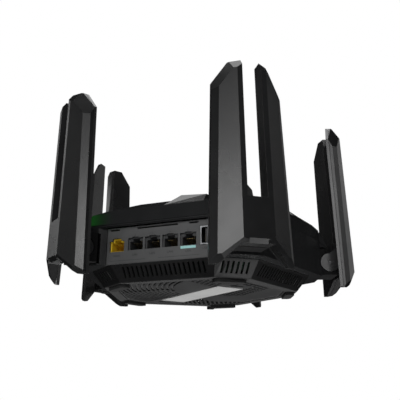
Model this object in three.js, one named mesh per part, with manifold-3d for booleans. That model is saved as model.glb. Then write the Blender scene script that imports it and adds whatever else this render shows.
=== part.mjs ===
// Five-antenna wireless router. Millimetres, +Z up, port panel facing -Y, standing on its feet at z = 0.
import * as THREE from 'three';
import { mergeVertices } from 'three/addons/utils/BufferGeometryUtils.js';
import Module from 'manifold-3d';

const wasm = await Module();
wasm.setup();

// ---- driving dimensions (mm) ----
const GAP = 0.3;               // clearance between neighbouring pieces
const FOOT_Z = 3;              // underside of the hull above the table
const HULL_TOP = 17;           // rim of the bottom housing
const WALL = 2.4;
const HULL_LOW = [85, 93.5];   // distance of side faces and of corner faces from the axis, at the bottom
const HULL_HIGH = [96, 105];   // the same at the rim
const UPPER = [106, 118];      // the same for the upper housing
const UPPER_TOP = 52;          // seam between upper housing and top cover
const FRONT_Y = 98.5;          // front is cut back to this plane
const COVER_TOP = 64.5;        // upper edge of the cover's upright skirt
const PANEL_Y = 93.5;          // face of the port panel
const PANEL_HALF = 52;
const PANEL_LOW = 17.6;
const PANEL_HIGH = 49.8;
const BOARD_Z = 25.9;          // underside of the main board
const BOARD_THICK = 1.6;
const JACK_PITCH = 16;
const FIRST_LAN_X = -25;
const WAN_X = -42.6;
const JACK_LOW = 29.7;         // lower edge of a network opening
const HINGE_OUT = 128;         // hinge axis from the centre
const HINGE_Z = 31.5;
const CORNERS = [-54, 18, 90, 162, 234];   // direction of each corner, degrees
const SIDES = [-90, -18, 54, 126, 198];    // direction of each side face, degrees

// Antenna, in its own frame: u outward from the hinge axis, t sideways, v up.
const WEB_OUT = 22.5;          // outer face of the web
const WEB_THICK = 12.5;
const SLOT_HALF = 8.1;
const FOLD_HALF = 12.6;
const FOLD = Math.PI / 6;      // each blade is folded back by this angle
const TIP_V = -26.7;
const WEB_LOW_V = -9.6;
const SLOT_LOW_V = 22.4;
const PEAK_V = 142;
const SHOULDER_V = 123.6;
const TIP_REACH = 24.7;        // blade width from fold to outer edge, at the tip
const SHOULDER_REACH = 20.3;   // the same at the shoulder
const EDGE_BEVEL = 5.2;
const LINER = 2.7;             // thickness of the inner shell

const group = new THREE.Group();
group.name = 'wireless_router';
const rad = (deg) => (deg * Math.PI) / 180;

// ---- solids ----
function solid(geometry) {
  const g = geometry.clone();
  g.deleteAttribute('normal');
  g.deleteAttribute('uv');
  const m = mergeVertices(g, 1e-4);
  const count = m.attributes.position.count;
  const index = m.index ? m.index.array : Uint32Array.from({ length: count }, (_, i) => i);
  return new wasm.Manifold(new wasm.Mesh({
    numProp: 3,
    vertProperties: m.attributes.position.array,
    triVerts: new Uint32Array(index),
  }));
}

function geometryOf(manifold) {
  const mesh = manifold.getMesh();
  const g = new THREE.BufferGeometry();
  const n = mesh.numProp;
  const count = mesh.vertProperties.length / n;
  const p = new Float32Array(count * 3);
  for (let i = 0; i < count; i++) p.set(mesh.vertProperties.subarray(i * n, i * n + 3), i * 3);
  g.setAttribute('position', new THREE.BufferAttribute(p, 3));
  g.setIndex(new THREE.BufferAttribute(mesh.triVerts, 1));
  const flat = g.toNonIndexed();
  flat.computeVertexNormals();
  return flat;
}

// Upright prism through a plan outline.
function prism(points, low, high, holes = []) {
  const shape = new THREE.Shape(points.map(([x, y]) => new THREE.Vector2(x, y)));
  for (const h of holes) shape.holes.push(new THREE.Path(h.map(([x, y]) => new THREE.Vector2(x, y))));
  const g = new THREE.ExtrudeGeometry(shape, { depth: high - low, bevelEnabled: false });
  g.translate(0, 0, low);
  return solid(g);
}

// Prism lying along +Y: outline in (x, z), from y = from to y = to.
function sideways(points, from, to) {
  const shape = new THREE.Shape(points.map(([x, z]) => new THREE.Vector2(x, z)));
  const g = new THREE.ExtrudeGeometry(shape, { depth: to - from, bevelEnabled: false });
  g.rotateX(Math.PI / 2);
  g.translate(0, to, 0);
  return solid(g);
}

// Prism lying along +X: outline in (y, z), from x = from to x = to.
function lengthways(points, from, to) {
  const shape = new THREE.Shape(points.map(([y, z]) => new THREE.Vector2(y, z)));
  const g = new THREE.ExtrudeGeometry(shape, { depth: to - from, bevelEnabled: false });
  g.rotateX(Math.PI / 2);
  g.rotateZ(Math.PI / 2);
  g.translate(from, 0, 0);
  return solid(g);
}

// Solid between level outlines that have the same number of points, lowest first.
function loft(rings) {
  const n = rings[0].length;
  const p = rings.flat(2);
  const tri = [];
  for (let k = 0; k + 1 < rings.length; k++) {
    for (let i = 0; i < n; i++) {
      const a = k * n + i;
      const b = k * n + ((i + 1) % n);
      tri.push(a, b, b + n, a, b + n, a + n);
    }
  }
  const cap = (ring) => THREE.ShapeUtils.triangulateShape(ring.map(([x, y]) => new THREE.Vector2(x, y)), []);
  for (const [a, b, c] of cap(rings[0])) tri.push(a, c, b);
  const top = (rings.length - 1) * n;
  for (const [a, b, c] of cap(rings[rings.length - 1])) tri.push(top + a, top + b, top + c);
  const g = new THREE.BufferGeometry();
  g.setAttribute('position', new THREE.BufferAttribute(new Float32Array(p), 3));
  g.setIndex(tri);
  return solid(g);
}

function box(x0, x1, y0, y1, z0, z1) {
  const g = new THREE.BoxGeometry(x1 - x0, y1 - y0, z1 - z0);
  g.translate((x0 + x1) / 2, (y0 + y1) / 2, (z0 + z1) / 2);
  return solid(g);
}

function rod(radius, axis, from, to, centre, sides = 24) {
  const g = new THREE.CylinderGeometry(radius, radius, to - from, sides);
  if (axis === 'z') g.rotateX(Math.PI / 2);
  if (axis === 'x') g.rotateZ(Math.PI / 2);
  const mid = (from + to) / 2;
  const [a, b] = centre;
  if (axis === 'x') g.translate(mid, a, b);
  if (axis === 'y') g.translate(a, mid, b);
  if (axis === 'z') g.translate(a, b, mid);
  return solid(g);
}

const turned = (m, deg) => m.rotate([0, 0, deg]);
const join = (parts) => parts.reduce((a, b) => a.add(b));

// Everything on the far side of a plane, as a large block.
function beyond(point, normal) {
  const g = new THREE.BoxGeometry(600, 600, 600);
  g.translate(0, 0, 300);
  const n = new THREE.Vector3(...normal).normalize();
  g.applyQuaternion(new THREE.Quaternion().setFromUnitVectors(new THREE.Vector3(0, 0, 1), n));
  g.translate(...point);
  return solid(g);
}

function add(name, manifold, colour, roughness, metalness, place) {
  const material = new THREE.MeshStandardMaterial({ color: colour, roughness, metalness });
  const mesh = new THREE.Mesh(geometryOf(manifold), material);
  mesh.name = name;
  if (place) place(mesh);
  group.add(mesh);
}

// Ten-sided outline: side faces at distance side, corner faces at distance corner,
// and the front face at distance front.
function outline(side, corner, front = side) {
  const points = [];
  const half = rad(36);
  for (let i = 0; i < 10; i++) {
    const isSide = i % 2 === 0;
    const here = rad(-90 + 36 * i);
    const level = (k) => (k % 10 === 0 ? front : side);
    const [d, next] = isSide ? [level(i), corner] : [corner, level(i + 1)];
    const t = (next - d * Math.cos(half)) / Math.sin(half);
    points.push([d * Math.cos(here) - t * Math.sin(here), d * Math.sin(here) + t * Math.cos(here)]);
  }
  return points;
}
const level = (points, z) => points.map(([x, y]) => [x, y, z]);
const frustum = (low, z0, high, z1) => loft([level(outline(...low), z0), level(outline(...high), z1)]);
const plate = (dist, z0, z1) => prism(outline(...dist), z0, z1);
const inset = (pair, by) => pair.map((d) => d - by);
const frontCut = (y) => box(-200, 200, -200, -y, -10, 200);

// ---- colours ----
const SATIN_BLACK = 0x1b1c1e;
const DARK_GREY = 0x2c2e31;
const MID_GREY = 0x77797c;
const STEEL = 0xb9bcc0;
const RUBBER = 0x101112;

// ---- bottom housing: sloping vented faces and a vented floor ----
const FLOOR = 2.5;
const FOOT_HALF = 14;
const FOOT_IN = 83;
const FOOT_OUT = 91.5;
function footPad(grow, low, high) {
  const c = 3;
  const t = FOOT_HALF + grow;
  const a = FOOT_IN - grow;
  const b = FOOT_OUT + grow;
  return prism([[a, -t], [b - c, -t], [b, -t + c], [b, t - c], [b - c, t], [a, t]], low, high);
}

let hull = frustum(HULL_LOW, FOOT_Z, HULL_HIGH, HULL_TOP);
const hollow = [inset(HULL_LOW, WALL), inset(HULL_HIGH, WALL - 0.3)];
hull = hull.subtract(frustum(hollow[0], FOOT_Z + FLOOR, hollow[1], HULL_TOP + 0.1));
// shallow sunk field on the underside, leaving a flat rim
hull = hull.subtract(frustum([76.5, 82], FOOT_Z - 1, [75, 80.5], FOOT_Z + 0.8));
const SLOPE = Math.atan2(HULL_HIGH[0] - HULL_LOW[0], HULL_TOP - FOOT_Z);
const FACE_MID_Z = (HULL_TOP + FOOT_Z) / 2 + 0.6;
function faceSlots(count, pitch, width, length, distance) {
  const slots = [];
  for (let i = 0; i < count; i++) {
    const g = new THREE.BoxGeometry(12, width, length);
    g.rotateY(SLOPE);
    g.translate(distance, (i - (count - 1) / 2) * pitch, FACE_MID_Z);
    slots.push(solid(g));
  }
  return join(slots);
}
const sideSlots = faceSlots(18, 4.2, 1.9, 11, 90.8);
for (const s of SIDES) hull = hull.subtract(turned(sideSlots, s));
const cornerSlots = faceSlots(6, 4.4, 1.9, 11, 99.6);
for (const c of CORNERS) hull = hull.subtract(turned(cornerSlots, c));

// underside: a slanting band for the label, with a hanging hole at each end
const LABEL_TURN = -38;
const LABEL_AT = [-1, 5];
const LABEL_SIZE = [104, 28];
const throughPlan = (points) => prism(points, 0, FOOT_Z + FLOOR + 1);
const rectangle = (x0, x1, y0, y1) => [[x0, y0], [x1, y0], [x1, y1], [x0, y1]];
const labelBand = (extra) => throughPlan(rectangle(-66, 66, -14.5 - extra, 14.5 + extra))
  .rotate([0, 0, LABEL_TURN]).translate([...LABEL_AT, 0]);
const keyhole = rod(3.6, 'z', 0, 20, [0, 0]).add(box(0, 9.5, -1.7, 1.7, 0, 20)).rotate([0, 0, 42]);
for (const [x, y] of [[44.5, -33], [-57, 42]]) hull = hull.subtract(keyhole.translate([x, y, 0]));

// Parallel bars side by side, all turned by one angle; each bar is width wide.
function bars(count, pitch, width, angle) {
  const reach = ((count - 1) / 2) * pitch;
  const each = [...Array(count).keys()].map((i) => throughPlan(
    rectangle(-120, 120, i * pitch - reach - width / 2, i * pitch - reach + width / 2)));
  return turned(join(each), angle);
}
const field = throughPlan(outline(74.5, 79.5));
const rows = bars(41, 5.2, 3.4, 18);
// staggered short vents round the lower end of the label, with bridges that follow the right face beside it
const shortZone = throughPlan([
  [13, -77], [66, -77], [80, -20], [74, -13], [41, 25], [20, 23], [14, 10], [24, -40],
])
  .intersect(field).subtract(labelBand(1)).subtract(turned(footPad(3, -1, 20), CORNERS[0]));
const besideRight = turned(box(60, 100, -100, 100, -1, 20), SIDES[1]);
hull = hull.subtract(rows.subtract(bars(41, 5.2, 1.6, -51)).intersect(shortZone.subtract(besideRight)));
hull = hull.subtract(rows.subtract(bars(41, 5.6, 1.6, 72)).intersect(shortZone.intersect(besideRight)));
// long vents between the upper end of the label and the back corner
const longZone = throughPlan([[-58, 70], [-40, 60], [-9, 33], [-5, 57], [33, 76], [0, 100], [-40, 100]])
  .intersect(field).subtract(labelBand(1)).subtract(turned(footPad(3, -1, 20), CORNERS[2]));
const longVents = bars(23, 4.9, 2.9, 104).subtract(bars(5, 17, 1.6, 18).translate([0, 55, 0]));
hull = hull.subtract(longVents.intersect(longZone));
// curved ribs across the left half, deeper towards the front
const RIB_CENTRE = [66, -9];
function groove(r, depth) {
  const steps = 8;
  const at = (radius, i) => {
    const a = rad(162 + (74 * i) / steps);
    return [RIB_CENTRE[0] + radius * Math.cos(a), RIB_CENTRE[1] + radius * Math.sin(a)];
  };
  const near = [...Array(steps + 1).keys()].map((i) => at(r, i));
  const far = [...Array(steps + 1).keys()].map((i) => at(r + 2.5, i));
  return prism([...far, ...near.reverse()], FOOT_Z - 1, FOOT_Z + 0.8 + depth);
}
const leftField = throughPlan(outline(73.8, 78.5)).subtract(labelBand(2))
  .subtract(turned(footPad(3, -1, 20), CORNERS[4])).subtract(turned(footPad(3, -1, 20), CORNERS[3]));
const deepZone = throughPlan([[-90, -26], [-90, -90], [13, -90], [22, -42], [-10, -10], [-22, -34]]);
const shallowZone = throughPlan([[-90, -22], [-24, -32], [-13, -10], [-60, 46], [-62, 56], [-90, 30]]);
for (let i = 0; i < 17; i++) {
  const r = 83 + i * 4.6;
  const grooves = groove(r, 1.2).intersect(deepZone).add(groove(r, 0.5).intersect(shallowZone));
  hull = hull.subtract(grooves.intersect(leftField));
}
for (const c of CORNERS) {
  hull = hull.subtract(turned(footPad(GAP, 0, FOOT_Z + 1), c));
}
add('bottom_housing', hull, DARK_GREY, 0.5, 0);

for (const [i, c] of CORNERS.entries()) {
  const foot = turned(footPad(0, 0, FOOT_Z + 0.7), c);
  add('foot_' + (i + 1), foot, RUBBER, 0.9, 0);
}

const label = prism([[-LABEL_SIZE[0] / 2, -LABEL_SIZE[1] / 2], [LABEL_SIZE[0] / 2, -LABEL_SIZE[1] / 2],
  [LABEL_SIZE[0] / 2, LABEL_SIZE[1] / 2], [-LABEL_SIZE[0] / 2, LABEL_SIZE[1] / 2]], 3.2, 3.6);
add('rating_label', label.rotate([0, 0, LABEL_TURN]).translate([...LABEL_AT, 0]), 0xe6e6e2, 0.6, 0);

// ---- upper housing: upright walls, a ledge over the hull, and a recess for the port panel ----
const BRACKET_HALF = 13.8;
let upper = plate(UPPER, HULL_TOP + GAP, UPPER_TOP);
upper = upper.subtract(plate(inset(UPPER, WALL), HULL_TOP + GAP + WALL, UPPER_TOP + 1));
upper = upper.subtract(plate([91, 100], HULL_TOP - 1, HULL_TOP + WALL + 2));
upper = upper.subtract(frontCut(FRONT_Y));
const frontWall = box(-67, 67, -FRONT_Y, -FRONT_Y + WALL, HULL_TOP + GAP, UPPER_TOP);
upper = upper.add(frontWall.intersect(plate(inset(UPPER, 0.5), 0, 100)));
// splayed cheeks beside the panel
for (const s of [-1, 1]) {
  const cheek = [[58.5, -FRONT_Y], [52.4, -PANEL_Y], [52.4, -PANEL_Y + 4], [55, -PANEL_Y + 4], [62, -FRONT_Y]]
    .map(([x, y]) => [s * x, y]);
  upper = upper.add(prism(s < 0 ? cheek : cheek.reverse(), HULL_TOP + GAP, UPPER_TOP));
}
const recess = [[-58.5, -FRONT_Y - 1], [58.5, -FRONT_Y - 1], [58.5, -FRONT_Y], [52.3, -PANEL_Y],
  [52.3, -60], [-52.3, -60], [-52.3, -PANEL_Y], [-58.5, -FRONT_Y]];
upper = upper.subtract(prism(recess, 10, 50.2));
// lintel groove over the panel and a window for each hinge bracket
upper = upper.subtract(box(-PANEL_HALF, PANEL_HALF, -FRONT_Y - 1, -FRONT_Y + 0.8, 50, 50.8));
const hingeWindow = box(112, 130, -BRACKET_HALF - GAP, BRACKET_HALF + GAP, 19.2 - GAP, 45.3);
for (const c of CORNERS) upper = upper.subtract(turned(hingeWindow, c));
// lip under the hood that the cover puts over each hinge
const hoodPlan = prism([[110, -12], [118, -17.6], [126, -13.4], [126, 13.4], [118, 17.6], [110, 12]], 0, 100);
const lipShape = [[116, 45.6], [118, 45.6], [124.6, 46], [125.2, 46.4], [118.3, 50], [116, 50]];
const lip = sideways(lipShape, -20, 20).intersect(hoodPlan);
for (const c of CORNERS) upper = upper.add(turned(lip, c).subtract(frontCut(FRONT_Y)));
// vertical vent slots on the four closed sides
const wallSlot = (t) => box(100, 112, t - 1, t + 1, 26, 44);
const wallSlots = join([...Array(9).keys()].map((i) => wallSlot((i - 4) * 6)));
for (const s of SIDES.slice(2, 4)) upper = upper.subtract(turned(wallSlots, s));
add('upper_housing', upper, SATIN_BLACK, 0.42, 0);

// ---- top cover: upright skirt, steep shoulder, five raised vanes round a low hub ----
const SHOULDER = 12;           // width of the sloping band above the skirt
const coverRing = (by, z) => level(outline(UPPER[0] - by, UPPER[1] - by, FRONT_Y - by), z);
let cover = loft([
  coverRing(0, UPPER_TOP + GAP), coverRing(0, COVER_TOP),
  coverRing(SHOULDER, 71.8), level(outline(30, 33), 73.6),
]);
let coverCore = loft([
  coverRing(WALL, UPPER_TOP), coverRing(WALL, COVER_TOP - 1),
  coverRing(SHOULDER + 1, 69.4), level(outline(30, 33), 71.2),
]);
// the shoulder falls away towards each corner, inside as well as outside
const fallAway = (z) => beyond([117, 0, z], [0.28, 0, 0.96]);
for (const c of CORNERS) {
  cover = cover.subtract(turned(fallAway(62.3), c));
  coverCore = coverCore.subtract(turned(fallAway(62.3 - WALL), c));
}
cover = cover.subtract(coverCore);
// vane: starts as a point halfway along the skirt's top edge, climbs at once and sinks towards the corner
function vane(edge) {
  const foot = [[0, 3], [0, 38], [-40, 50], [-58, 14], [-34, 2]].map(([u, t]) => [edge + u, t, COVER_TOP]);
  const crest = [[-12.5, 14, 76.2], [-12.5, 37, 74.6], [-40, 45, 74.8], [-53, 17, 75.8], [-33, 10, 77]]
    .map(([u, t, z]) => [edge + u, t, z]);
  return loft([foot, crest]);
}
for (const s of SIDES) cover = cover.add(turned(vane(s === SIDES[0] ? FRONT_Y : UPPER[0]), s));
// corner hoods, sloping down over the hinges
const hoodShape = [
  [112, 52.3], [118.3, 52.3], [118.3, 50.4], [125.6, 46.6], [126, 47],
  [122.2, 54.4], [119.3, 59.2], [117.2, 62.4], [112, 63],
];
const hood = sideways(hoodShape, -20, 20).intersect(hoodPlan);
for (const c of CORNERS) cover = cover.add(turned(hood, c).subtract(frontCut(FRONT_Y)));
// vents between the vanes, hub seat
const topSlot = (i) => box(42 + i * 5, 44 + i * 5, -30 + i * 1.5, -21, 60, 90);
const topSlots = join([...Array(6).keys()].map(topSlot));
for (const s of SIDES) cover = cover.subtract(turned(topSlots, s));
cover = cover.subtract(plate([20.3, 22.3], 60, 90));
add('top_cover', cover, SATIN_BLACK, 0.4, 0);

// light guide close behind the left end of the front skirt, which lets its green light through
const guideBack = -FRONT_Y + WALL + GAP;
const guide = box(-57, -38, guideBack, guideBack + 2, 54, 60.6);
add('status_light_guide', guide, 0x1f7a2c, 0.25, 0);

// hub cap with a plain five-sided crest
let hub = loft([level(outline(20, 22), 69), level(outline(20, 22), 76), level(outline(16, 17.5), 78)]);
hub = hub.add(loft([level(outline(17, 19), 66), level(outline(17, 19), 70)]));
add('hub_cap', hub, MID_GREY, 0.35, 0.2);

// ---- port panel ----
let panel = box(-PANEL_HALF, PANEL_HALF, -PANEL_Y, -PANEL_Y + WALL, PANEL_LOW, PANEL_HIGH);
const USB_X = 37.4;
const USB_Z = [28.6, 44.2];
const SIDE_PORT_X = 46.8;
const DC_Z = 42.2;
const POWER_Z = 31;
const RESET_Z = 23;
const jackX = [WAN_X, ...[...Array(4).keys()].map((i) => FIRST_LAN_X + i * JACK_PITCH)];
// a network opening: a rectangle with a notch for the latch above it, grown all round by grow
function jackShape(x, grow) {
  const [half, notch] = [6 + grow, 3.2 + grow];
  const [low, high, top] = [JACK_LOW - grow, JACK_LOW + 7.6 + grow, JACK_LOW + 9.9 + grow];
  return [
    [x - half, low], [x + half, low], [x + half, high], [x + notch, high],
    [x + notch, top], [x - notch, top], [x - notch, high], [x - half, high],
  ];
}
panel = panel.subtract(sideways(jackShape(WAN_X, 1), -100, -80));
for (const x of jackX.slice(1)) {
  panel = panel.subtract(box(x - 7.1, x + 7.1, -100, -80, JACK_LOW - 0.6, JACK_LOW + 10.2));
  panel = panel.subtract(box(x - 3, x + 3, -100, -80, JACK_LOW, JACK_LOW + 11));
}
const USB_HALF = 3.8;
const usbSides = [USB_X - USB_HALF - GAP, USB_X + USB_HALF + GAP];
panel = panel.subtract(box(...usbSides, -100, -80, USB_Z[0] - GAP, USB_Z[1] + GAP));
panel = panel.subtract(rod(4, 'y', -100, -80, [SIDE_PORT_X, DC_Z]));
panel = panel.subtract(rod(3.4, 'y', -100, -80, [SIDE_PORT_X, POWER_Z]));
panel = panel.subtract(rod(1.5, 'y', -100, -80, [SIDE_PORT_X, RESET_Z], 16));
for (const [a, b] of [[-49.5, -40.5], [-23.5, 14], [24, 32]]) {
  panel = panel.subtract(box(a, b, -100, -80, 47.3, 48.8));
}
add('io_panel', panel, MID_GREY, 0.5, 0.1);

// ---- network jacks ----
const JACK_DEEP = 18;
function jack(x) {
  const face = -PANEL_Y + WALL + GAP;
  let j = box(x - 7.7, x + 7.7, face, face + JACK_DEEP, BOARD_Z + BOARD_THICK + GAP, JACK_LOW + 11.6);
  j = j.subtract(sideways(jackShape(x, 0), face - 1, face + JACK_DEEP - 3));
  // comb of contacts along the upper rear of the opening
  for (let i = 0; i < 8; i++) {
    const cx = x - 3.57 + i * 1.02;
    const finger = [[face + 4, JACK_LOW + 7.1], [face + 15.2, JACK_LOW + 2.6], [face + 15.2, JACK_LOW + 3.4],
      [face + 5, JACK_LOW + 7.5]];
    j = j.add(lengthways(finger, cx - 0.2, cx + 0.2));
  }
  return j;
}
for (const [i, x] of jackX.entries()) {
  add(i === 0 ? 'wan_jack' : 'lan_jack_' + i, jack(x), i === 0 ? 0xd9b01a : 0x3a3c3f, 0.4, i === 0 ? 0 : 0.4);
}

// ---- usb port, power inlet, buttons ----
const portBack = -PANEL_Y + 16;
const USB_WALL = 1.1;
let usb = box(USB_X - USB_HALF, USB_X + USB_HALF, -PANEL_Y - 0.2, portBack, ...USB_Z);
const usbHole = [USB_X - USB_HALF + USB_WALL, USB_X + USB_HALF - USB_WALL];
usb = usb.subtract(box(...usbHole, -100, portBack - 0.6, USB_Z[0] + USB_WALL, USB_Z[1] - USB_WALL));
add('usb_port', usb, STEEL, 0.3, 0.9);
const tongue = box(USB_X + 0.4, USB_X + 2.3, -PANEL_Y + 1, portBack - 0.9, USB_Z[0] + 2, USB_Z[1] - 2);
add('usb_tongue', tongue, 0x26282b, 0.5, 0);

const dcLow = DC_Z - 4.6;
let dc = box(SIDE_PORT_X - 4.6, SIDE_PORT_X + 4.6, -PANEL_Y + WALL + GAP, -PANEL_Y + 17, dcLow, DC_Z + 4.6);
dc = dc.add(rod(3.7, 'y', -PANEL_Y - 0.1, -PANEL_Y + 4, [SIDE_PORT_X, DC_Z]));
dc = dc.subtract(rod(2.9, 'y', -PANEL_Y - 2, -PANEL_Y + 12, [SIDE_PORT_X, DC_Z]));
add('dc_inlet', dc, RUBBER, 0.5, 0);
const dcPin = rod(0.95, 'y', -PANEL_Y + 1.2, -PANEL_Y + 11.7, [SIDE_PORT_X, DC_Z], 16);
add('dc_inlet_pin', dcPin, STEEL, 0.25, 1);

const power = rod(3, 'y', -PANEL_Y - 1, -PANEL_Y + 3.2, [SIDE_PORT_X, POWER_Z])
  .add(rod(4, 'y', -PANEL_Y + WALL + GAP, -PANEL_Y + 4.2, [SIDE_PORT_X, POWER_Z]));
add('power_button', power, SATIN_BLACK, 0.4, 0);
const reset = rod(1.15, 'y', -PANEL_Y + 0.5, -PANEL_Y + 3.2, [SIDE_PORT_X, RESET_Z], 16)
  .add(rod(2.2, 'y', -PANEL_Y + WALL + GAP, -PANEL_Y + 4.2, [SIDE_PORT_X, RESET_Z], 16));
add('reset_button', reset, SATIN_BLACK, 0.5, 0);

// ---- inside ----
let board = prism(outline(90, 98), BOARD_Z, BOARD_Z + BOARD_THICK);
board = board.subtract(box(-200, 200, -200, -89.5, 0, 60));
board = board.subtract(box(SIDE_PORT_X - 6, 200, -200, -60, 0, 60));
for (const c of CORNERS) board = board.subtract(turned(rod(1.7, 'z', 0, 60, [90, 0], 16), c));
add('main_board', board, 0x14532d, 0.6, 0);
let sink = box(-32, 32, -34, 38, 31.6, 34.4);
for (let i = 0; i < 13; i++) sink = sink.add(box(-31.2 + i * 5, -30 + i * 5, -34, 38, 34, 50));
add('heat_sink', sink, 0xa9abae, 0.4, 0.9);
const BOARD_TOP = BOARD_Z + BOARD_THICK;
const can = (x, y, w, d, h) => box(x, x + w, y, y + d, BOARD_TOP + GAP, BOARD_TOP + h);
add('shield_can_left', can(-74, -28, 34, 46, 3.4), STEEL, 0.3, 1);
add('shield_can_right', can(40, -28, 34, 46, 3.4), STEEL, 0.3, 1);
add('shield_can_centre', can(-28, -30, 56, 62, 3.2), STEEL, 0.3, 1);

// ---- hinge brackets, fixed in the corner windows ----
const bracketShape = [[-12.5, -12.3], [6.4, -12.3], [6.4, -4], [-3, 0], [-5, 13.4], [-12.5, 13.4]];
const BRACKET_PIVOT = 3.9;
let bracket = sideways(bracketShape, -BRACKET_HALF, BRACKET_HALF);
bracket = bracket.subtract(rod(9.6, 'y', -20, 20, [0, 0], 32));
const lug = box(-12.5, 0, -BRACKET_PIVOT, BRACKET_PIVOT, -6, 6)
  .add(rod(6, 'y', -BRACKET_PIVOT, BRACKET_PIVOT, [0, 0]));
bracket = bracket.add(lug).subtract(rod(1.9, 'y', -20, 20, [0, 0]));
const pin = rod(1.6, 'y', -13.5, 13.5, [0, 0]).subtract(box(-1.2, 1.2, -14, -12.9, -0.3, 0.3));

// ---- antenna ----
const sin = Math.sin(FOLD);
const cos = Math.cos(FOLD);
const BACK = WEB_OUT - WEB_THICK;
const reachAt = (v) => TIP_REACH + ((SHOULDER_REACH - TIP_REACH) * (v - TIP_V)) / (SHOULDER_V - TIP_V);
const BACK_SWEEP = rad(17.5);  // angle of the blade's back
function bladeSection(v) {
  const q = reachAt(v);
  const face = q - EDGE_BEVEL;
  const edge = [WEB_OUT - q * sin - 3, FOLD_HALF + q * cos];
  return [
    [BACK, SLOT_HALF], [WEB_OUT, SLOT_HALF], [WEB_OUT, FOLD_HALF],
    [WEB_OUT - face * sin, FOLD_HALF + face * cos], edge,
    [BACK - (edge[1] - 0.6 - SLOT_HALF) * Math.tan(BACK_SWEEP), edge[1] - 0.6],
  ].map(([u, t]) => [u, t, v]);
}
let blade = loft([bladeSection(TIP_V), bladeSection(PEAK_V + 2)]);
// outline of the tip of the blade and its bevels
const slopeT = FOLD_HALF + 5.8 * cos;
const shoulderT = FOLD_HALF + SHOULDER_REACH * cos;
const capOutline = [
  [slopeT, PEAK_V], [shoulderT, SHOULDER_V], [shoulderT + 20, SHOULDER_V - 29],
  [80, 200], [0, 200], [0, PEAK_V],
];
blade = blade.subtract(lengthways(capOutline, -40, 60));
const faceNormal = [cos, sin, 0];
const onFace = (q, v) => [WEB_OUT - q * sin, FOLD_HALF + q * cos, v];
const blend = (a, b) => faceNormal.map((n, i) => n * a + [-sin * b[0], cos * b[0], b[1]][i]);
blade = blade.subtract(beyond(onFace(0, PEAK_V - 9.5), blend(0.8, [0, 0.45])));
const run = Math.atan2(PEAK_V - SHOULDER_V, SHOULDER_REACH - 5.8);
const capSlope = [0.45 * Math.sin(run), 0.45 * Math.cos(run)];
blade = blade.subtract(beyond(onFace(3, PEAK_V - 9.5), blend(0.8, capSlope)));
// slanting foot of the blade
const TIP_FLAT_T = 27.5;
const footCut = [[0, -60], [TIP_FLAT_T, -60], [TIP_FLAT_T, TIP_V], [12.6, -12.8], [0, -12.8]];
blade = blade.subtract(lengthways(footCut, -40, 60));
const drop = Math.atan2(11, 16.3);
const footSlope = [-0.5 * Math.sin(drop), -0.5 * Math.cos(drop)];
blade = blade.subtract(beyond(onFace(0, WEB_LOW_V), blend(0.75, footSlope)));
blade = blade.subtract(beyond(onFace(18, -20.6), blend(0.75, [0, -0.5])));
// web between the two blades
let web = box(BACK, WEB_OUT, -FOLD_HALF, FOLD_HALF, -12.8, SLOT_LOW_V);
web = web.subtract(beyond([WEB_OUT, 0, WEB_LOW_V], [0.7, 0, -0.7]));
// round relief behind the web, so that the blades can fold out past the bracket
const RELIEF = 14.3;
const antenna = blade.add(blade.mirror([0, 1, 0])).add(web)
  .subtract(rod(RELIEF, 'y', -BRACKET_HALF - 0.4, BRACKET_HALF + 0.4, [0, 0], 32));
// parting surface between outer and inner shells
const lineAt = (depth) => {
  const u = BACK + depth;
  const bend = SLOT_HALF + (depth * (1 - Math.cos(BACK_SWEEP))) / Math.sin(BACK_SWEEP);
  const far = u - (60 - bend) * Math.tan(BACK_SWEEP);
  return [[-40, -60], [far, -60], [u, -bend], [u, bend], [far, 60], [-40, 60]];
};
const behind = (depth) => prism(lineAt(depth), -60, 200);
let outerShell = antenna.subtract(behind(LINER + GAP));
let innerShell = antenna.intersect(behind(LINER));
// pocket for the radiator strip, one in each blade and a cross strip in the web
const strip = (g) => {
  const depth = [BACK - 3, BACK + LINER + 1.9 + g];
  const half = box(...depth, 10 - g, 15 + g, 12, 118 + g);
  return half.add(half.mirror([0, 1, 0])).add(box(...depth, -12, 12, 12 - g, 19 + g));
};
outerShell = outerShell.subtract(strip(GAP));
const radiator = strip(0).subtract(behind(LINER + GAP + 0.02));
// knuckle with two ears, turning on the pin either side of the bracket's lug
const EAR_IN = BRACKET_PIVOT + GAP;
const LINER_OUT = BACK + LINER;
const armShape = [[0, 9], [BACK + 0.5, 17], [LINER_OUT, 17], [LINER_OUT, 7], [9.5, 1.2], [8.5, 1.2], [0, -4]];
let knuckle = rod(9, 'y', EAR_IN, BRACKET_HALF - 0.2, [0, 0], 32);
knuckle = knuckle.add(sideways(armShape, EAR_IN, BRACKET_HALF - 0.2));
knuckle = knuckle.add(knuckle.mirror([0, 1, 0]));
innerShell = innerShell.add(knuckle.intersect(behind(LINER))).subtract(rod(1.9, 'y', -20, 20, [0, 0]));

for (const [i, c] of CORNERS.entries()) {
  const n = '_' + (i + 1);
  const place = (mesh) => {
    mesh.rotation.z = rad(c);
    mesh.position.set(HINGE_OUT * Math.cos(rad(c)), HINGE_OUT * Math.sin(rad(c)), HINGE_Z);
  };
  add('hinge_bracket' + n, bracket, SATIN_BLACK, 0.5, 0, place);
  add('hinge_pin' + n, pin, STEEL, 0.3, 1, place);
  add('antenna_outer_shell' + n, outerShell, DARK_GREY, 0.45, 0, place);
  add('antenna_inner_shell' + n, innerShell, SATIN_BLACK, 0.4, 0, place);
  add('antenna_radiator' + n, radiator, 0xb5783a, 0.4, 0.6, place);
}

// plan centre of the whole object on the origin
const middle = new THREE.Box3().setFromObject(group, true).getCenter(new THREE.Vector3());
for (const mesh of group.children) {
  mesh.position.x -= middle.x;
  mesh.position.y -= middle.y;
}

export default group;
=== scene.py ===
import math

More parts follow.
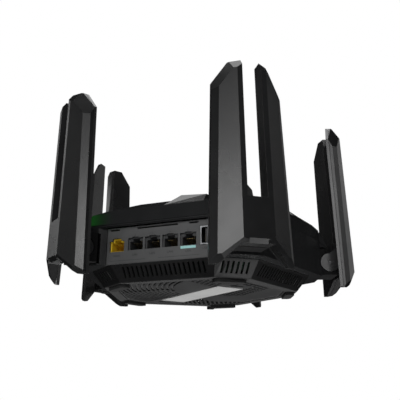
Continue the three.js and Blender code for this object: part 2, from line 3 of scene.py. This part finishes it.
import bmesh
import bpy
from mathutils import Matrix, Vector


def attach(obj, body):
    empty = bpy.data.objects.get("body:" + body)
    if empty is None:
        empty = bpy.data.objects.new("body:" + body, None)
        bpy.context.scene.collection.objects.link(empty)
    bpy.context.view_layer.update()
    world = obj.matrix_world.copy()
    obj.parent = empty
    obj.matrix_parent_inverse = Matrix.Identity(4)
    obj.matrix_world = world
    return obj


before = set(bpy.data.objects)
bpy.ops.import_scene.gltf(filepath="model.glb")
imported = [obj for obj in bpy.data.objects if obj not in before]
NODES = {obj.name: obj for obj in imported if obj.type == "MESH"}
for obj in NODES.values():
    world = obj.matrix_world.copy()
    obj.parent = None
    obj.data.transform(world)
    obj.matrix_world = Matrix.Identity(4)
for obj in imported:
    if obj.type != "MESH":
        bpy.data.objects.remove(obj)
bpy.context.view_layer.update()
SCENE = bpy.context.scene
MM = 0.001
# the part is centred on the middle of its plan outline, and the pentagon's axis lies this far from it in y
SHIFT_Y = -9.6586 * MM

# ---------------------------------------------------------------- camera, from a fit to the photo
CAMERA_AT = (0.15667, -0.47082, -0.0690)
CAMERA_TURN, CAMERA_PITCH = 20.06, 19.32     # degrees to the left of +Y and up from level
FRAME_WIDTH, FOCAL_LENGTH = 36.0, 44.1747    # millimetres
FRAME_SHIFT = 0.0314                         # share of the frame's width
NEAREST, FARTHEST = 0.01, 50


def add_camera():
    data = bpy.data.cameras.new("camera")
    data.sensor_width = FRAME_WIDTH
    data.lens = FOCAL_LENGTH
    data.shift_x = FRAME_SHIFT
    data.clip_start, data.clip_end = NEAREST, FARTHEST
    camera = bpy.data.objects.new("camera", data)
    SCENE.collection.objects.link(camera)
    camera.location = CAMERA_AT
    camera.rotation_euler = (math.radians(90 + CAMERA_PITCH), 0, math.radians(CAMERA_TURN))
    SCENE.camera = camera


add_camera()

# ---------------------------------------------------------------- node helpers
# places of a Mix node's sockets: its colour set and its number set share one factor
FACTOR, COLOUR_A, COLOUR_B, COLOUR_OUT = 0, 6, 7, 2
NUMBER_A, NUMBER_B, NUMBER_OUT = 2, 3, 0
# a noise texture seldom leaves this range, so it is stretched from it
NOISE_LOW, NOISE_HIGH = 0.3, 0.7


class Nodes:
    """Small helper round one material's node tree."""

    def __init__(self, name):
        self.mat = bpy.data.materials.new(name)
        self.mat.use_nodes = True
        self.tree = self.mat.node_tree
        self.tree.nodes.clear()
        self.out = self.new("ShaderNodeOutputMaterial")
        self.bsdf = self.new("ShaderNodeBsdfPrincipled")
        self.link(self.bsdf.outputs[0], self.out.inputs[0])
        self.coord = self.new("ShaderNodeTexCoord")
        self.place = self.coord.outputs["Object"]

    def new(self, kind, **settings):
        node = self.tree.nodes.new(kind)
        for key, value in settings.items():
            setattr(node, key, value)
        return node

    def link(self, source, target):
        self.tree.links.new(source, target)

    def feed(self, value, target):
        """Links value to target if it is a socket, and writes it there if it is a number or a colour."""
        if isinstance(value, bpy.types.NodeSocket):
            self.link(value, target)
        else:
            target.default_value = (*value, 1) if isinstance(value, tuple) else value

    def set(self, socket, value):
        self.feed(value, self.bsdf.inputs[socket])

    def noise(self, scale, detail=3.0, rough=0.55, stretch=None):
        n = self.new("ShaderNodeTexNoise")
        n.inputs["Scale"].default_value = scale
        n.inputs["Detail"].default_value = detail
        n.inputs["Roughness"].default_value = rough
        source = self.place
        if stretch:
            mapping = self.new("ShaderNodeMapping")
            mapping.inputs["Scale"].default_value = stretch
            self.link(source, mapping.inputs["Vector"])
            source = mapping.outputs[0]
        self.link(source, n.inputs["Vector"])
        return n.outputs["Fac"]

    def ramp(self, amount, low_colour, high_colour, low=NOISE_LOW, high=NOISE_HIGH):
        """Colour running from low_colour to high_colour as amount goes from low to high."""
        r = self.new("ShaderNodeValToRGB")
        for stop, position, colour in zip(r.color_ramp.elements, (low, high), (low_colour, high_colour)):
            stop.position = position
            stop.color = (*colour, 1)
        self.link(amount, r.inputs["Fac"])
        return r.outputs["Color"]

    def remap(self, amount, low, high, from_low=NOISE_LOW, from_high=NOISE_HIGH):
        """Number running from low to high as amount goes from from_low to from_high, level beyond them."""
        r = self.new("ShaderNodeMapRange")
        limits = {"From Min": from_low, "From Max": from_high, "To Min": low, "To Max": high}
        for socket, value in limits.items():
            r.inputs[socket].default_value = value
        self.link(amount, r.inputs["Value"])
        return r.outputs["Result"]

    def calc(self, operation, a, b):
        m = self.new("ShaderNodeMath", operation=operation)
        self.feed(a, m.inputs[0])
        self.feed(b, m.inputs[1])
        return m.outputs[0]

    def blend(self, amount, a, b):
        """Colour a where amount is 0, colour b where it is 1."""
        m = self.new("ShaderNodeMix", data_type="RGBA")
        self.link(amount, m.inputs[FACTOR])
        self.feed(a, m.inputs[COLOUR_A])
        self.feed(b, m.inputs[COLOUR_B])
        return m.outputs[COLOUR_OUT]

    def blend_numbers(self, amount, a, b):
        m = self.new("ShaderNodeMix", data_type="FLOAT")
        self.link(amount, m.inputs[FACTOR])
        self.feed(a, m.inputs[NUMBER_A])
        self.feed(b, m.inputs[NUMBER_B])
        return m.outputs[NUMBER_OUT]

    def axes(self, vector):
        split = self.new("ShaderNodeSeparateXYZ")
        self.link(vector, split.inputs[0])
        return split.outputs

    def bump(self, height, strength, distance):
        b = self.new("ShaderNodeBump")
        b.inputs["Strength"].default_value = strength
        b.inputs["Distance"].default_value = distance
        self.link(height, b.inputs["Height"])
        self.set("Normal", b.outputs["Normal"])


# ---------------------------------------------------------------- plastics
def moulded(name, dark, light, rough, grain=2600, grain_height=0.04 * MM, wear=(0.16, 0.165, 0.17),
            wear_amount=0.05, coat=0.0, specular=0.5, cavity_shade_reach=0.0, painted_underside_light=None):
    """Moulded plastic: fine spark-eroded grain, faint flow mottling, hand smudges in the gloss, rubbed edges.

    The cavity distance is how far to look for nearby walls; near them a painted shade makes a slot dark, and
    the gloss is dulled there.
    The underside colour is a lighter colour painted on the faces that look down, as painted light from below.
    """
    n = Nodes(name)
    colour = n.ramp(n.noise(38, 4, 0.6), dark, light, 0.32, 0.68)
    gloss = n.remap(n.noise(16, 3, 0.7), *rough)
    geometry = n.new("ShaderNodeNewGeometry")
    # painted light: faces that look down get a lighter colour, standing in for light falling on them from
    # below
    if painted_underside_light:
        painted_light_below_mask = n.remap(n.axes(geometry.outputs["Normal"])["Z"], 1.0, 0.0, -0.99, -0.94)
        colour = n.blend(painted_light_below_mask, colour, painted_underside_light)
    rubbed = n.remap(geometry.outputs["Pointiness"], 0.0, wear_amount, 0.53, 0.60)
    colour = n.blend(rubbed, colour, wear)
    # painted shade: near walls, in slots and recesses, the colour is darkened towards black as shade would
    # darken it
    if cavity_shade_reach:
        painted_shade_openness = n.new("ShaderNodeAmbientOcclusion", samples=6)
        painted_shade_openness.inputs["Distance"].default_value = cavity_shade_reach
        painted_light_share = n.calc("POWER", painted_shade_openness.outputs["AO"], 3.0)
        colour = n.blend(painted_light_share, (0.001, 0.001, 0.001), colour)
        gloss = n.blend_numbers(painted_light_share, 0.85, gloss)
    n.set("Base Color", colour)
    n.set("Roughness", gloss)
    n.set("Specular IOR Level", specular)
    n.bump(n.noise(grain, 2, 0.5), 0.35, grain_height)
    n.set("Coat Weight", coat)
    n.set("Coat Roughness", 0.25)
    return n


BLACK = ((0.0085, 0.0088, 0.0092), (0.0125, 0.0128, 0.0133))
satin_black = moulded("satin_black_plastic", *BLACK, (0.20, 0.27), specular=0.32)
bracket_black = moulded("bracket_plastic", (0.004, 0.004, 0.0042), (0.006, 0.006, 0.0063), (0.60, 0.72),
                        wear=(0.02, 0.02, 0.021), specular=0.1)
# the bottom housing's plastic: painted shade in its slots, and painted light on the faces that look down
dark_grey = moulded("dark_grey_plastic", (0.009, 0.009, 0.0093), (0.013, 0.013, 0.0135), (0.26, 0.34),
                    specular=0.48, cavity_shade_reach=4 * MM, painted_underside_light=(0.056, 0.056, 0.057))
blade_black = moulded("antenna_plastic", (0.0095, 0.0097, 0.010), (0.0140, 0.0142, 0.0147), (0.25, 0.32))
liner_black = moulded("antenna_liner_plastic", (0.018, 0.018, 0.0185), (0.024, 0.024, 0.0245), (0.22, 0.30),
                      coat=0.15)
panel_grey = moulded("port_panel_plastic", (0.066, 0.067, 0.068), (0.082, 0.083, 0.084), (0.38, 0.5),
                     wear=(0.2, 0.2, 0.205), wear_amount=0.08)
jack_grey = moulded("jack_plastic", (0.030, 0.031, 0.032), (0.045, 0.046, 0.048), (0.3, 0.42))
yellow = moulded("yellow_jack_plastic", (0.60, 0.40, 0.015), (0.74, 0.50, 0.03), (0.3, 0.42),
                 wear=(0.8, 0.6, 0.1))
hub_grey = moulded("hub_cap_plastic", (0.05, 0.05, 0.052), (0.07, 0.07, 0.073), (0.28, 0.38), coat=0.4)
insulator = moulded("socket_insulator", (0.02, 0.021, 0.023), (0.032, 0.033, 0.036), (0.35, 0.5))
rubber = moulded("foot_rubber", (0.012, 0.012, 0.012), (0.02, 0.02, 0.02), (0.7, 0.85), grain=900,
                 grain_height=0.12 * MM, wear=(0.07, 0.07, 0.07), specular=0.3)
button_black = moulded("button_plastic", (0.02, 0.02, 0.021), (0.028, 0.028, 0.03), (0.3, 0.4))


def cover_with_painted_glow():
    """The top cover's plastic, with a painted green glow on the left end of its front skirt, standing in for
    green light falling on it.
    """
    n = moulded("cover_plastic_with_painted_glow", *BLACK, (0.15, 0.20), specular=0.34)
    place = n.axes(n.place)

    def within(axis, start, full, fading, end):
        """1 from full to fading, falling to 0 at start and at end, all in millimetres."""
        rising = n.remap(place[axis], 0, 1, start * MM, full * MM)
        falling = n.remap(place[axis], 1, 0, fading * MM, end * MM)
        return n.calc("MULTIPLY", rising, falling)

    along_skirt = within("X", -67.5, -66.5, -64, -40)
    through_skirt = within("Y", -120, -115, -106.5, -104)
    up_skirt = within("Z", 51.5, 53.5, 62, 64.5)
    painted_glow_patch = n.calc("MULTIPLY", n.calc("MULTIPLY", along_skirt, through_skirt), up_skirt)
    # painted light: the skirt's own plastic emits green here, standing in for light from the green lamp
    n.set("Emission Strength", n.remap(n.calc("POWER", painted_glow_patch, 2.5), 0.0, 0.034, 0.0, 1.0))
    n.set("Emission Color", (0.03, 1.0, 0.06))
    return n


cover_black_painted_glow = cover_with_painted_glow()


# ---------------------------------------------------------------- metals
def metal(name, colour, rough, stretch):
    """Drawn or rolled metal: long fine streaks in colour and height, and blotches in the gloss.

    The streaks run along the axis with the smallest number in stretch.
    """
    n = Nodes(name)
    streak = n.noise(260, 5, 0.65, stretch)
    dark = tuple(c * 0.82 for c in colour)
    n.set("Base Color", n.ramp(streak, dark, colour))
    n.set("Roughness", n.remap(n.noise(60, 3, 0.6), rough * 0.8, rough * 1.35))
    n.bump(streak, 0.25, 0.03 * MM)
    n.set("Metallic", 1.0)
    return n


ALONG_X, ALONG_Z = (0.15, 4, 4), (4, 4, 0.15)
steel = metal("plated_steel", (0.62, 0.63, 0.65), 0.26, ALONG_X)
aluminium = metal("extruded_aluminium", (0.66, 0.67, 0.68), 0.34, (4, 0.12, 4))
pin_steel = metal("blackened_steel", (0.14, 0.14, 0.145), 0.42, ALONG_X)
copper = metal("bare_copper", (0.72, 0.38, 0.2), 0.3, ALONG_Z)
gold = metal("gold_contacts", (0.85, 0.62, 0.25), 0.22, (4, 0.3, 4))


def socket_steel_with_painted_shade_material():
    """The USB shell's steel, with painted shade: bright at its front edge, painted near black in its depth.
    """
    n = metal("socket_steel", (0.40, 0.41, 0.42), 0.3, ALONG_X)
    bright = n.bsdf.inputs["Base Color"].links[0].from_socket
    painted_shade_depth = n.remap(n.axes(n.place)["Y"], 0.0, 1.0, -103.2 * MM, -102.2 * MM)
    # painted shade: the steel's colour runs to near black deeper in the socket
    n.set("Base Color", n.blend(painted_shade_depth, bright, (0.03, 0.03, 0.032)))
    return n


socket_steel = socket_steel_with_painted_shade_material()


# ---------------------------------------------------------------- board, label, prints, light guide
def board_material():
    n = Nodes("solder_mask")
    cells = n.new("ShaderNodeTexVoronoi")
    cells.inputs["Scale"].default_value = 240
    n.link(n.place, cells.inputs["Vector"])
    distance = cells.outputs["Distance"]
    n.set("Base Color", n.ramp(distance, (0.02, 0.13, 0.055), (0.008, 0.06, 0.025), 0.05, 0.35))
    n.set("Roughness", n.remap(n.noise(80), 0.25, 0.4))
    n.bump(distance, 0.3, 0.05 * MM)
    return n


def label_material():
    n = Nodes("label_film")
    fibre = n.noise(420, 4, 0.6)
    n.set("Base Color", n.ramp(fibre, (0.66, 0.66, 0.65), (0.72, 0.72, 0.71)))
    n.set("Roughness", n.remap(n.noise(30), 0.4, 0.6))
    n.bump(fibre, 0.2, 0.02 * MM)
    return n


def print_material(name, dark, light, speckle, rough):
    n = Nodes(name)
    n.set("Base Color", n.ramp(n.noise(speckle), dark, light))
    n.set("Roughness", n.remap(n.noise(90), *rough))
    return n


def light_guide_material():
    n = Nodes("green_light_guide")
    glow = n.noise(120, 2)
    n.set("Base Color", n.ramp(glow, (0.02, 0.5, 0.06), (0.04, 0.7, 0.1)))
    n.set("Emission Strength", n.remap(glow, 0.35, 0.55))
    n.set("Emission Color", (0.08, 0.9, 0.15))
    n.set("Roughness", 0.2)
    return n


board = board_material()
label_film = label_material()
teal = print_material("teal_print", (0.32, 0.62, 0.60), (0.38, 0.70, 0.68), 300, (0.4, 0.55))
ink = print_material("panel_print", (0.012, 0.012, 0.013), (0.03, 0.03, 0.031), 500, (0.45, 0.6))
green_lamp = light_guide_material()

# ---------------------------------------------------------------- materials and edge bevels on the CAD nodes
# a node takes the entry with the longest name that its own name starts with
FINISH = {
    "bottom_housing": dark_grey, "upper_housing": satin_black, "top_cover": cover_black_painted_glow, "hub_cap": hub_grey,
    "status_light_guide": green_lamp, "io_panel": panel_grey, "wan_jack": yellow, "lan_jack": jack_grey,
    "usb_port": socket_steel, "usb_tongue": insulator, "dc_inlet": jack_grey, "dc_inlet_pin": steel,
    "power_button": button_black, "reset_button": button_black, "main_board": board, "heat_sink": aluminium,
    "shield_can": steel, "rating_label": label_film, "foot": rubber, "hinge_bracket": bracket_black,
    "hinge_pin": pin_steel, "antenna_outer_shell": blade_black, "antenna_inner_shell": liner_black,
    "antenna_radiator": copper,
}
BEVEL_WIDTH = {  # millimetres
    "antenna_outer_shell": 0.3, "antenna_inner_shell": 0.2, "top_cover": 0.5, "upper_housing": 0.4,
    "bottom_housing": 0.12, "hub_cap": 0.4, "foot": 0.4, "hinge_bracket": 0.3, "io_panel": 0.2,
    "power_button": 0.3, "hinge_pin": 0.2,
}
SHARP_ANGLE = math.radians(28)
SAME_POINT = 0.01 * MM


def round_edges(node, width):
    weld = node.modifiers.new("weld", "WELD")
    weld.merge_threshold = SAME_POINT
    bevel = node.modifiers.new("bevel", "BEVEL")
    bevel.width = width
    bevel.segments = 2
    bevel.limit_method = "ANGLE"
    bevel.angle_limit = SHARP_ANGLE
    bevel.harden_normals = False
    bevel.use_clamp_overlap = True


for name, node in NODES.items():
    key = max((k for k in FINISH if name.startswith(k)), key=len)
    node.data.materials.clear()
    node.data.materials.append(FINISH[key].mat)
    for start, width in BEVEL_WIDTH.items():
        if name.startswith(start):
            round_edges(node, width * MM)


# ---------------------------------------------------------------- pieces made here, all fixed to the base
def piece(name, bm, finish):
    mesh = bpy.data.meshes.new(name)
    bm.to_mesh(mesh)
    bm.free()
    obj = bpy.data.objects.new(name, mesh)
    SCENE.collection.objects.link(obj)
    obj.data.materials.append(finish.mat)
    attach(obj, "base")


def add_box(bm, low, high):
    size = [b - a for a, b in zip(low, high)]
    middle = [(a + b) / 2 for a, b in zip(low, high)]
    bmesh.ops.create_cube(bm, size=1.0, matrix=Matrix.Translation(middle) @ Matrix.Diagonal((*size, 1)))


def add_strip(bm, profile, x0, x1):
    """A prism running across the panel: profile is a list of (y, z) points in millimetres."""
    ends = [[bm.verts.new((x, y * MM + SHIFT_Y, z * MM)) for y, z in profile] for x in (x0, x1)]
    bm.faces.new(ends[0])
    bm.faces.new(ends[1][::-1])
    for i in range(len(profile)):
        j = (i + 1) % len(profile)
        bm.faces.new((ends[0][j], ends[0][i], ends[1][i], ends[1][j]))


PANEL_Y = -93.5 * MM + SHIFT_Y               # front face of the port panel
WAN_X, FIRST_LAN_X, LAN_PITCH = -42.6, -25, 16    # millimetres
JACK_X = [WAN_X * MM] + [(FIRST_LAN_X + LAN_PITCH * i) * MM for i in range(4)]
JACK_LOW = 29.7 * MM
USB_X, USB_MIDDLE = 37.4 * MM, 36.4 * MM
SIDE_PORT_X = 46.8 * MM
PRINT_ROOT = 0.05 * MM                       # how far a print reaches into the panel


def add_print(bm, x_range, z_range, thick):
    add_box(bm, (x_range[0], PANEL_Y - thick, z_range[0]), (x_range[1], PANEL_Y + PRINT_ROOT, z_range[1]))


# coloured mark under the fifth socket
MARK_HALF, MARK_Z = 6.6 * MM, (JACK_LOW - 3.2 * MM, JACK_LOW - 1.0 * MM)
bm = bmesh.new()
add_print(bm, (JACK_X[4] - MARK_HALF, JACK_X[4] + MARK_HALF), MARK_Z, 0.12 * MM)
piece("teal_socket_mark", bm, teal)

# thin rules under the port words
RULE_X = ((-48.5, -15.5), (-3.5, 32.5))
RULE_Z = (20.5 * MM, 20.8 * MM)
bm = bmesh.new()
for start, end in RULE_X:
    add_print(bm, (start * MM, end * MM), RULE_Z, 0.1 * MM)
piece("panel_rule", bm, ink)

# eight sprung contact wires under the comb in each network socket
WIRES, WIRE_PITCH, WIRE_HALF = 8, 1.02 * MM, 0.19 * MM
WIRE = ((-87.0, 36.5), (-75.8, 32.05), (-75.8, 31.75), (-87.0, 36.2))
for i, x in enumerate(JACK_X):
    bm = bmesh.new()
    for k in range(WIRES):
        middle = x + (k - (WIRES - 1) / 2) * WIRE_PITCH
        add_strip(bm, WIRE, middle - WIRE_HALF, middle + WIRE_HALF)
    bmesh.ops.recalc_face_normals(bm, faces=bm.faces)
    piece("socket_wires_%d" % (i + 1), bm, gold)

# four contacts on the tongue of the USB socket
CONTACTS, CONTACT_PITCH, CONTACT_HALF = 4, 2.5 * MM, 0.6 * MM
CONTACT_X = (USB_X + 0.2 * MM, USB_X + 0.35 * MM)
CONTACT_Y = (PANEL_Y + 1.4 * MM, PANEL_Y + 10.0 * MM)
bm = bmesh.new()
for k in range(CONTACTS):
    z = USB_MIDDLE + (k - (CONTACTS - 1) / 2) * CONTACT_PITCH
    low, high = zip(CONTACT_X, CONTACT_Y, (z - CONTACT_HALF, z + CONTACT_HALF))
    add_box(bm, low, high)
piece("usb_contacts", bm, gold)


def lettering(name, text, x, z, size):
    """Raised print on the panel, centred on x, with its base line at z."""
    curve = bpy.data.curves.new(name, "FONT")
    curve.body = text
    curve.size = size
    curve.align_x = "CENTER"
    curve.extrude = 0.05 * MM
    flat = bpy.data.objects.new(name, curve)
    SCENE.collection.objects.link(flat)
    flat.location = (x, PANEL_Y - 0.08 * MM, z)
    flat.rotation_euler = (math.radians(90), 0, 0)
    bpy.context.view_layer.update()
    depsgraph = bpy.context.evaluated_depsgraph_get()
    mesh = bpy.data.meshes.new_from_object(flat.evaluated_get(depsgraph))
    solid = bpy.data.objects.new(name, mesh)
    solid.matrix_world = flat.matrix_world.copy()
    SCENE.collection.objects.link(solid)
    bpy.data.objects.remove(flat)
    solid.data.materials.clear()
    solid.data.materials.append(ink.mat)
    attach(solid, "base")


NUMBER_Z, WORD_Z = JACK_LOW + 11.8 * MM, JACK_LOW - 5.6 * MM
WORD_Z_UNDER_MARK = JACK_LOW - 6.2 * MM
for i, (x, word) in enumerate(zip(JACK_X, ("WAN", "LAN", "LAN", "LAN", "LAN"))):
    lettering("socket_number_%d" % (i + 1), str(i + 1), x, NUMBER_Z, 2.2 * MM)
    lettering("socket_word_%d" % (i + 1), word, x, WORD_Z_UNDER_MARK if i == 4 else WORD_Z, 2.7 * MM)
lettering("usb_word", "USB", USB_X, 24.7 * MM, 2.6 * MM)
lettering("power_word", "POWER", SIDE_PORT_X, 35.6 * MM, 1.8 * MM)
lettering("reset_word", "RESET", SIDE_PORT_X, 19.6 * MM, 1.8 * MM)

# ---------------------------------------------------------------- stage and light
BACKDROP, ROOM = 1.0, 0.003                  # brightness of the world: as seen, and as it lights the object
FLOOR_RADIUS, FLOOR_DROP = 2.5, 0.2 * MM


def studio_world():
    """White behind the object, dim all round it, so that the softboxes shape the black plastic."""
    world = bpy.data.worlds.new("world")
    world.use_nodes = True
    tree = world.node_tree
    seen = tree.nodes["Background"]
    room = tree.nodes.new("ShaderNodeBackground")
    for background, brightness in ((seen, BACKDROP), (room, ROOM)):
        background.inputs["Color"].default_value = (1, 1, 1, 1)
        background.inputs["Strength"].default_value = brightness
    path = tree.nodes.new("ShaderNodeLightPath")
    mix = tree.nodes.new("ShaderNodeMixShader")
    tree.links.new(path.outputs["Is Camera Ray"], mix.inputs[0])
    tree.links.new(room.outputs[0], mix.inputs[1])
    tree.links.new(seen.outputs[0], mix.inputs[2])
    tree.links.new(mix.outputs[0], tree.nodes["World Output"].inputs[0])
    SCENE.world = world


def floor_material():
    """Pale paint that only the camera sees, and only from above. It casts no shadow and lights nothing."""
    n = Nodes("floor_paint")
    n.set("Base Color", n.ramp(n.noise(9), (0.78, 0.78, 0.78), (0.82, 0.82, 0.82)))
    n.set("Roughness", 0.7)
    clear = n.new("ShaderNodeBsdfTransparent")
    below = n.new("ShaderNodeNewGeometry").outputs["Backfacing"]
    unseen = n.calc("SUBTRACT", 1.0, n.new("ShaderNodeLightPath").outputs["Is Camera Ray"])
    mix = n.new("ShaderNodeMixShader")
    n.link(n.calc("MAXIMUM", below, unseen), mix.inputs[0])
    n.link(n.bsdf.outputs[0], mix.inputs[1])
    n.link(clear.outputs[0], mix.inputs[2])
    n.link(mix.outputs[0], n.out.inputs[0])
    return n


def one_sided_floor():
    """A pale floor seen from above only, so that a view from below it is not blocked."""
    bm = bmesh.new()
    bmesh.ops.create_circle(bm, cap_ends=True, radius=FLOOR_RADIUS, segments=96)
    mesh = bpy.data.meshes.new("floor")
    bm.to_mesh(mesh)
    bm.free()
    floor = bpy.data.objects.new("floor", mesh)
    floor.location = (0, 0, -FLOOR_DROP)
    SCENE.collection.objects.link(floor)
    mesh.materials.append(floor_material().mat)


studio_world()
one_sided_floor()

LIGHT_CENTRE = Vector((0, 0, 70 * MM))       # the point that every lamp is aimed at
# face sizes of the lamps, across and up, and how far each kind stands off, in metres
UPRIGHT, SQUARE, LARGE, MEDIUM, CEILING = (0.36, 0.8), (0.36, 0.36), (0.9, 0.6), (0.7, 0.45), (1.3, 1.3)
STAND_OFF = {UPRIGHT: 1.5, SQUARE: 1.5, LARGE: 1.4, MEDIUM: 1.4, CEILING: 1.6}
# azimuth and elevation in degrees, face size, brightness of the face
# the places that have a lamp and most of the brightnesses come from a fit of test renders to the photo
LAMPS = (
    (-180, 18, UPRIGHT, 2.3), (-135, 18, UPRIGHT, 0.3), (15, 18, UPRIGHT, 0.84), (60, 18, UPRIGHT, 0.5),
    (-90, -2, SQUARE, 2.4), (-90, 12, SQUARE, 7.4), (-90, 26, SQUARE, 1.4), (-75, 12, SQUARE, 4.1),
    (-75, 26, SQUARE, 1.9), (-60, 12, SQUARE, 3.8), (-60, 26, SQUARE, 3.9),
    (-120, -30, MEDIUM, 1.8), (-70, -30, MEDIUM, 3.4), (20, -55, LARGE, 2.4), (110, -55, LARGE, 4.4),
    (90, 86, CEILING, 2.2),
)


def softbox(name, azimuth, elevation, face, brightness):
    """A rectangular lamp aimed at the object from a direction in degrees."""
    data = bpy.data.lights.new(name, "AREA")
    data.shape = "RECTANGLE"
    data.size, data.size_y = face
    data.energy = brightness * math.pi * face[0] * face[1]
    lamp = bpy.data.objects.new(name, data)
    lamp.visible_camera = False
    SCENE.collection.objects.link(lamp)
    a, e = math.radians(azimuth), math.radians(elevation)
    out = Vector((math.cos(a) * math.cos(e), math.sin(a) * math.cos(e), math.sin(e)))
    lamp.location = LIGHT_CENTRE + out * STAND_OFF[face]
    lamp.rotation_euler = (-out).to_track_quat("-Z", "Y").to_euler()


for i, lamp in enumerate(LAMPS):
    softbox("lamp_%02d" % (i + 1), *lamp)
SCENE.view_settings.view_transform = "Standard"
